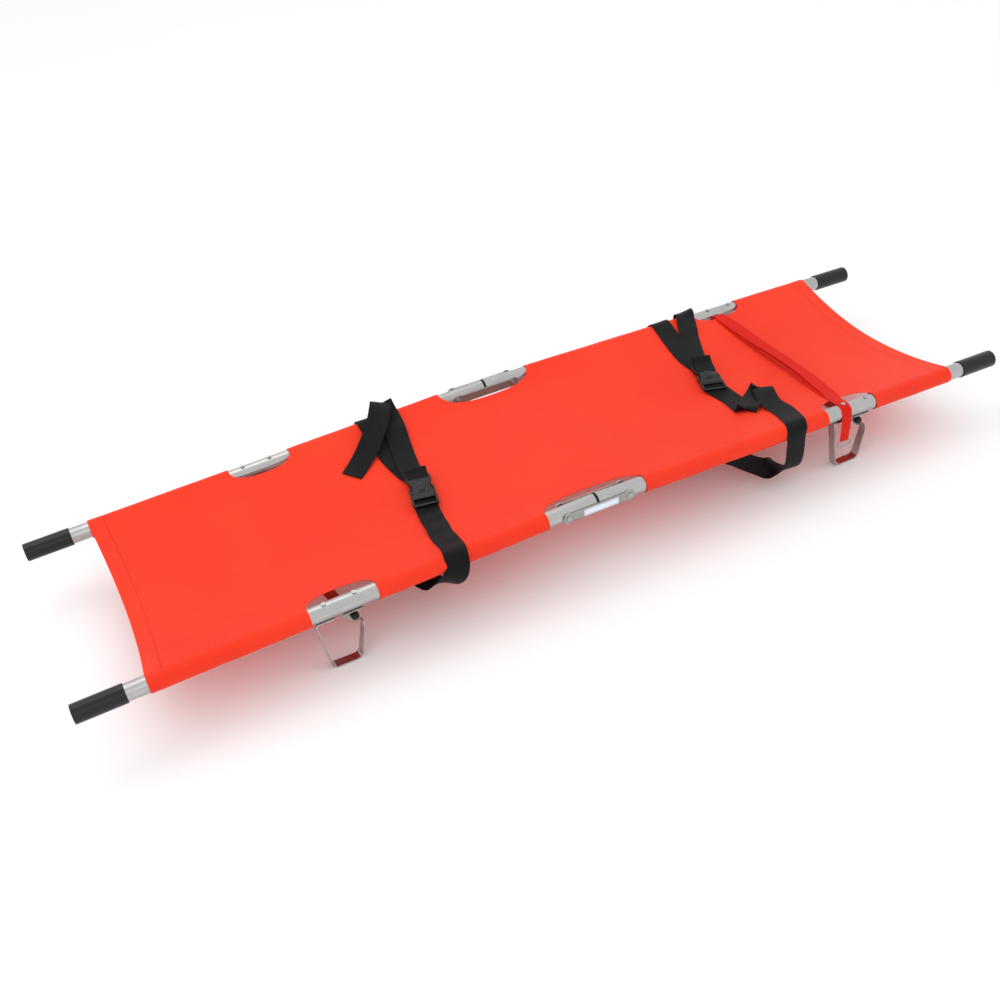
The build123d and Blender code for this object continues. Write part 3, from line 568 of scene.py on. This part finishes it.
# right strap: folded over itself twice on the bed, a long loop under the front pole
webbing(
    [("strap_right_lower", "front_right", ["strap_right"]), ("strap_right_hang", "front_right", []),
     ("strap_right_under", "front_right", []),
     ("strap_right_wrap", "rear_right", ["strap_right_rear_loop"]),
     ("strap_right_strand", "front_right", [])],
    1,
    [(459, -3, 8.5, -16, 0, 1), (457, -18, 6.5, -13, 0, 1),
     (462, -44, 2.0, -6, 3, 1), (464, -76, 1.2, 0, 0, 1),
     (461, -104, 1.4, -6, 0, 1), (457, -126, 2.0, -18, 0, 1), (454, -137, 5.5, -30, 0, 1),
     (464, -131, 9.5, -42, 0, 1), (484, -116, 9.0, -50, 0, 1), (508, -98, 9.0, -52, 0, 1),
     (527, -85, 10.5, -44, 0, 1), (533, -84, 15.0, -32, 0, 1), (529, -97, 18.0, -20, 0, 1),
     (521, -120, 13.0, -12, 0, 1), (514, -148, 6.0, -8, 0, 1), (513, -184, 2.4, -4, 4, 1),
     (506, -216, 1.4, -14, 0, 1), (497, -240, 2.0, -12, 0, 1), (492, -256, 20.6, -8, 0, 0),
     (487, -271, 11.8, -4, 0, 0), (484, -276, -6, 0, 0, 0), (484, -277, -34, 0, 0, 0),
     (484, -276.5, -62, 0, 0, 0), (482, -271, -84, -3, 0, 0), (477, -260, -96, -7, 0, 0),
     (465, -246, -100, -13, 0, 0), (448, -234, -98, -19, 0, 0), (426, -224, -90, -25, 0, 0),
     (402, -214, -77, -28, 0, 0), (379, -204, -61, -27, 0, 0), (360, -190, -44, -20, 0, 0),
     (352, -168, 7, 2, 4, -1),
     (366, -100, 3, 12, 0, -1), (396, 10, 2, 12, 0, -1), (440, 120, 2, 14, 0, -1),
     (474, 205, 3, 10, 0, -1), (481, 232, -12, 4, 0, 0), (484, 253.5, -20.9, 2, 0, 0),
     (484, 268.3, -14.8, 0, 0, 0), (484, 274.4, 0, 0, 0, 0), (484, 269, 15.4, 0, 0, 0),
     (484, 254, 22.2, 0, 0, 0), (483, 236, 17.6, -3, 0, 0), (481, 212, 2.0, -4, 0, 1),
     (477, 166, 2.2, -3, 0, 1), (475, 122, 1.4, 2, 0, 1), (479, 90, 2.2, 10, 0, 1),
     (481, 72, 5, 15, 0, 1)],
    "black_webbing")
# its second strand, slantwise to the rear pole and round it to an end under the bed
webbing(
    [("strap_right_second", "front_right", []), ("strap_right_second_wrap", "rear_right", []),
     ("strap_right_second_end", "front_right", [])],
    1,
    [(482, 74, 6, 16, 0, 1), (487, 96, 4.4, 22, 0, 1), (501, 134, 3.2, 24, 0, 1),
     (518, 174, 2.4, 26, 0, 1), (535, 210, 5, 27, 0, 1), (548, 238, 22, 22, 0, 0),
     (556, 258, 27, 14, 0, 0), (561, 274, 20, 6, 0, 0), (563, 279, 2, 0, 0, 0),
     (562, 270, -15, 0, 0, 0), (560, 253.5, -22, 0, 0, 0), (558, 236, -16, 0, 0, 0),
     (556, 214, 4, 0, 0, -1), (554, 184, 2, 0, 0, -1)],
    "black_webbing")

# ---- buckles: a waisted shell, and the latch whose prongs show at the shell's sides -----------------
BUCKLE = {"left": (-0.277, -0.018, 13), "right": (0.468, 0.024, 17)}    # middle and turn
BUCKLE_HALF = 0.052        # half the closed buckle's length
LATCH_TRAVEL = 0.045       # the released latch slides this far and stays clear of the bed


def rings(stations, corner=0.42, segments=32):
    """Loft of rounded boxes along the buckle: (along, middle across, half width, low, high) in mm."""
    t = np.linspace(0, 2 * pi, segments, endpoint=False)
    wide = np.sign(np.cos(t)) * np.abs(np.cos(t)) ** corner
    tall = np.sign(np.sin(t)) * np.abs(np.sin(t)) ** corner
    points, faces = [], []
    first, last = stations[0], stations[-1]
    caps = [(first[0], first[1], first[2] * 0.9, first[3] + 0.6, first[4] - 0.6)]
    ends = [(last[0], last[1], last[2] * 0.9, last[3] + 0.6, last[4] - 0.6)]
    soft = [(first[0] + (stations[1][0] - first[0]) * 0.06, *first[1:])]
    hard = [(last[0] + (stations[-2][0] - last[0]) * 0.06, *last[1:])]
    course = caps + soft + list(stations[1:-1]) + hard + ends
    for along, middle, half, low, high in course:
        points.append(np.stack([middle + half * wide, np.full(segments, float(along)),
                                (low + high) / 2 + (high - low) / 2 * tall], -1))
    for i in range(len(course) - 1):
        for j in range(segments):
            k = (j + 1) % segments
            faces.append((i * segments + j, i * segments + k,
                          (i + 1) * segments + k, (i + 1) * segments + j))
    faces.append(tuple(range(segments))[::-1])
    faces.append(tuple((len(course) - 1) * segments + j for j in range(segments)))
    return np.concatenate(points), faces


def buckle_part(name, word, body, node, lofts):
    """One half of a buckle, from lofts in the buckle's own directions, laid on the bed."""
    x0, y0, turn = BUCKLE[word]
    side = SIDES[word]
    farthest = max(y0 + BUCKLE_HALF, BUCKLE_HALF + LATCH_TRAVEL - y0)
    base = -SAG + RISE * farthest**2 + BED_T / 2 + LIE_GAP
    points, faces = [], []
    for stations in lofts:
        start = sum(len(p) for p in points)
        more, rings_faces = rings(stations)
        points.append(more / 1000)
        faces += [tuple(start + i for i in face) for face in rings_faces]
    u, v, w = np.concatenate(points).T
    c, t = cos(radians(turn)), sin(radians(turn))
    mesh = bpy.data.meshes.new(name)
    mesh.from_pydata(place(side, x0 + u * c + v * t, y0 - u * t + v * c, base + w).tolist(), [], faces)
    made = finished(name, mesh, FINISH["buckle_plastic"], 38)
    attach(made, body)
    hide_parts(node)


SHELL = [
    [(-13.5, 0, 24.5, 0.6, 11.2), (-9, 0, 22.8, 0.4, 12.2), (0, 0, 20.0, 0.3, 13.0),
     (8, 0, 19.6, 0.3, 13.2), (18, 0, 22.0, 0.3, 12.8),
     (27, 0, 25.6, 0.3, 12.0), (34, 0, 26.6, 0.5, 11.0)],
    [(33, -24.2, 2.6, 1.5, 10.0), (44, -24.0, 2.6, 1.8, 8.6), (51, -23.4, 2.4, 2.2, 7.6)],
    [(33, 24.2, 2.6, 1.5, 10.0), (44, 24.0, 2.6, 1.8, 8.6), (51, 23.4, 2.4, 2.2, 7.6)],
    [(46.5, 0, 25.5, 2.2, 7.4), (49, 0, 25.8, 2.0, 7.8), (51.5, 0, 25.0, 2.4, 7.2)],
    [(-11, 0, 6.0, 10.5, 12.6), (-2, 0, 7.5, 11.5, 14.1), (10, 0, 5.5, 11.5, 14.3),
     (26, 0, 3.5, 11.0, 13.0)],
]
LATCH = [
    [(-31, 0, 26.2, 0.8, 9.6), (-25, 0, 27.0, 0.5, 11.0), (-18, 0, 26.8, 0.4, 11.8),
     (-14.5, 0, 25.8, 0.6, 11.2)],
    [(-51.5, -24.6, 2.2, 1.8, 7.0), (-42, -25.2, 2.4, 1.4, 8.2), (-29, -24.6, 2.6, 1.2, 9.0)],
    [(-51.5, 24.6, 2.2, 1.8, 7.0), (-42, 25.2, 2.4, 1.4, 8.2), (-29, 24.6, 2.6, 1.2, 9.0)],
    [(-51.8, 0, 25.2, 1.8, 6.6), (-49.4, 0, 26.0, 1.4, 7.4), (-46.8, 0, 25.4, 1.8, 6.8)],
    [(-15, -23.4, 2.6, 2.4, 9.6), (-8, -25.2, 2.2, 2.6, 9.4), (2, -24.9, 2.4, 2.6, 9.6),
     (11, -22.4, 2.2, 2.8, 9.2)],
    [(-15, 23.4, 2.6, 2.4, 9.6), (-8, 25.2, 2.2, 2.6, 9.4), (2, 24.9, 2.4, 2.6, 9.6),
     (11, 22.4, 2.2, 2.8, 9.2)],
]
for word in SIDES:
    buckle_part(f"buckle_shell_{word}", word, f"{word}_buckle", f"strap_{word}_buckle", SHELL)
    buckle_part(f"buckle_latch_{word}", word, f"{word}_latch", f"strap_{word}_latch", LATCH)

# doubled webbing round each buckle's rear bar: a short folded end that stands up from the bed
for word, (x0, y0, turn) in BUCKLE.items():
    rows = []
    for back, up, tilt in ((14, 15.2, 0), (26, 16.6, 0), (40, 17.8, 2), (52, 20.5, 3), (60, 24.5, 4),
                           (64, 25.5, 4), (62, 22, 4), (54, 16, 3), (46, 10, 0)):
        x = 1000 * x0 + back * sin(radians(turn))
        y = 1000 * y0 + back * cos(radians(turn))
        rows.append((x, y, up, -turn, tilt, 1, 22.5))
    webbing([(f"strap_{word}_stub", f"{word}_buckle", [])], SIDES[word], rows, "black_webbing")

# ---- red strap ------------------------------------------------------------------------------------
# from the rear pole's inner side up through the cut-out, in a bow over the bed, under the
# front bolt's head and down to the ring. A second, narrower layer lies under it between the poles.
RED_RUN = [(638, 212, 2.0, 4, 0, 1, 14), (646, 166, 5.0, 8, 2, 1, 15.5),
           (652, 110, 9.5, 5, 0, 1, 14.5), (657, 45, 13.5, 3, -3, 1, 13.5),
           (658, -25, 14.5, -1, -3, 1, 13), (655, -90, 11.5, -5, 0, 1, 13),
           (647, -150, 6.5, -9, 2, 1, 14), (637, -196, 2.6, -14, 0, 1, 14)]
webbing(
    [("red_strap_end", "rear_right", ["red_strap_rear_end"])], 1,
    [(636, 244.5, -15.9, 0, 0, 0, 13), (636, 238.3, -10.0, 0, 0, 0, 13), (636, 235.3, 0, 0, 0, 0, 13),
     (636, 230.5, 9.5, 0, 0, 0, 13), (636.5, 223, 12.6, 2, 0, 0, 13.5)],
    "red_webbing", thickness=RED_T)
webbing(
    [("red_strap_run", "front_right", ["red_strap"]), ("red_strap_tail", "front_right", [])], 1,
    [(636.5, 224, 12.6, 2, 0, 0, 13.5), *RED_RUN,
     (628, -222, 13.0, -14, 0, 0, 13.5), (625, -240, 17.0, -10, 0, 0, 13),
     (623, -253.5, 18.3, -6, 0, 0, 13), (622, -267.6, 11.8, -2, 0, 0, 13),
     (622, -272.2, -4, 0, 0, 0, 13), (622, -273, -26, 0, 0, 0, 12.5),
     (621.5, -273.2, -48, 0, 0, 0, 12), (621.3, -273.2, -64, 0, 0, 0, 12)],
    "red_webbing", thickness=RED_T)
webbing(
    [("red_strap_under_layer", "front_right", [])], 1,
    [(x - 7.5, y + 1.5, max(up - 4.0, 0.6), turn, tilt, on_bed, 11.5)
     for x, y, up, turn, tilt, on_bed, _ in RED_RUN],
    "red_webbing", thickness=RED_T)

# ---- floor, light and camera ----------------------------------------------------------------------
floor_finish = Graph("floor_paint")
cloud = floor_finish.noise(floor_finish.piece(), 1.4, 3.0)
floor_finish.feed("Base Color", floor_finish.mix(cloud, (0.95, 0.95, 0.955), (0.965, 0.965, 0.965)))
floor_finish.feed("Roughness", floor_finish.span(cloud, 0.3, 0.7, 0.70, 0.80))
mesh = bpy.data.meshes.new("floor")
REACH, LEVEL = 9, -0.0006
mesh.from_pydata([(-REACH, -REACH, LEVEL), (REACH, -REACH, LEVEL), (REACH, REACH, LEVEL),
                  (-REACH, REACH, LEVEL)], [], [(0, 1, 2, 3)])
mesh.materials.append(floor_finish.material)
floor = bpy.data.objects.new("floor", mesh)
bpy.context.scene.collection.objects.link(floor)


def area_light(name, at, target, size, power, colour=(1, 1, 1)):
    data = bpy.data.lights.new(name, "AREA")
    data.shape, data.size, data.size_y = "RECTANGLE", *size
    data.energy, data.color = power, colour
    lamp = bpy.data.objects.new(name, data)
    lamp.location = at
    lamp.rotation_mode = "QUATERNION"
    lamp.rotation_quaternion = (Vector(target) - Vector(at)).to_track_quat("-Z", "Y")
    bpy.context.scene.collection.objects.link(lamp)


area_light("key", (-0.7, 1.3, 3.0), (0, 0, 0.1), (3.2, 2.0), 22, (1.0, 0.995, 0.98))
area_light("fill", (-1.8, -2.6, 2.2), (0, 0, 0.1), (2.2, 1.6), 8, (0.90, 0.94, 1.0))
world = bpy.data.worlds.new("studio")
world.use_nodes = True
world.node_tree.nodes["Background"].inputs[0].default_value = (1, 1, 1, 1)
world.node_tree.nodes["Background"].inputs[1].default_value = 1.0
bpy.context.scene.world = world
bpy.context.scene.view_settings.view_transform = "Standard"

AZIMUTH, ELEVATION, ROLL = radians(23.57), radians(37.77), radians(5.54)
EYE, LENS, SENSOR = (-0.912, -1.873, 1.6133), 42.38, 36
aim = Vector((sin(AZIMUTH) * cos(ELEVATION), cos(AZIMUTH) * cos(ELEVATION), -sin(ELEVATION)))
right = aim.cross(Vector((0, 0, 1))).normalized()
down = aim.cross(right)
right, down = cos(ROLL) * right + sin(ROLL) * down, cos(ROLL) * down - sin(ROLL) * right
lens = bpy.data.cameras.new("camera")
lens.lens, lens.sensor_width = LENS, SENSOR
camera = bpy.data.objects.new("camera", lens)
camera.matrix_world = Matrix((
    (right.x, -down.x, -aim.x, EYE[0]),
    (right.y, -down.y, -aim.y, EYE[1]),
    (right.z, -down.z, -aim.z, EYE[2]),
    (0, 0, 0, 1),
))
bpy.context.scene.collection.objects.link(camera)
bpy.context.scene.camera = camera
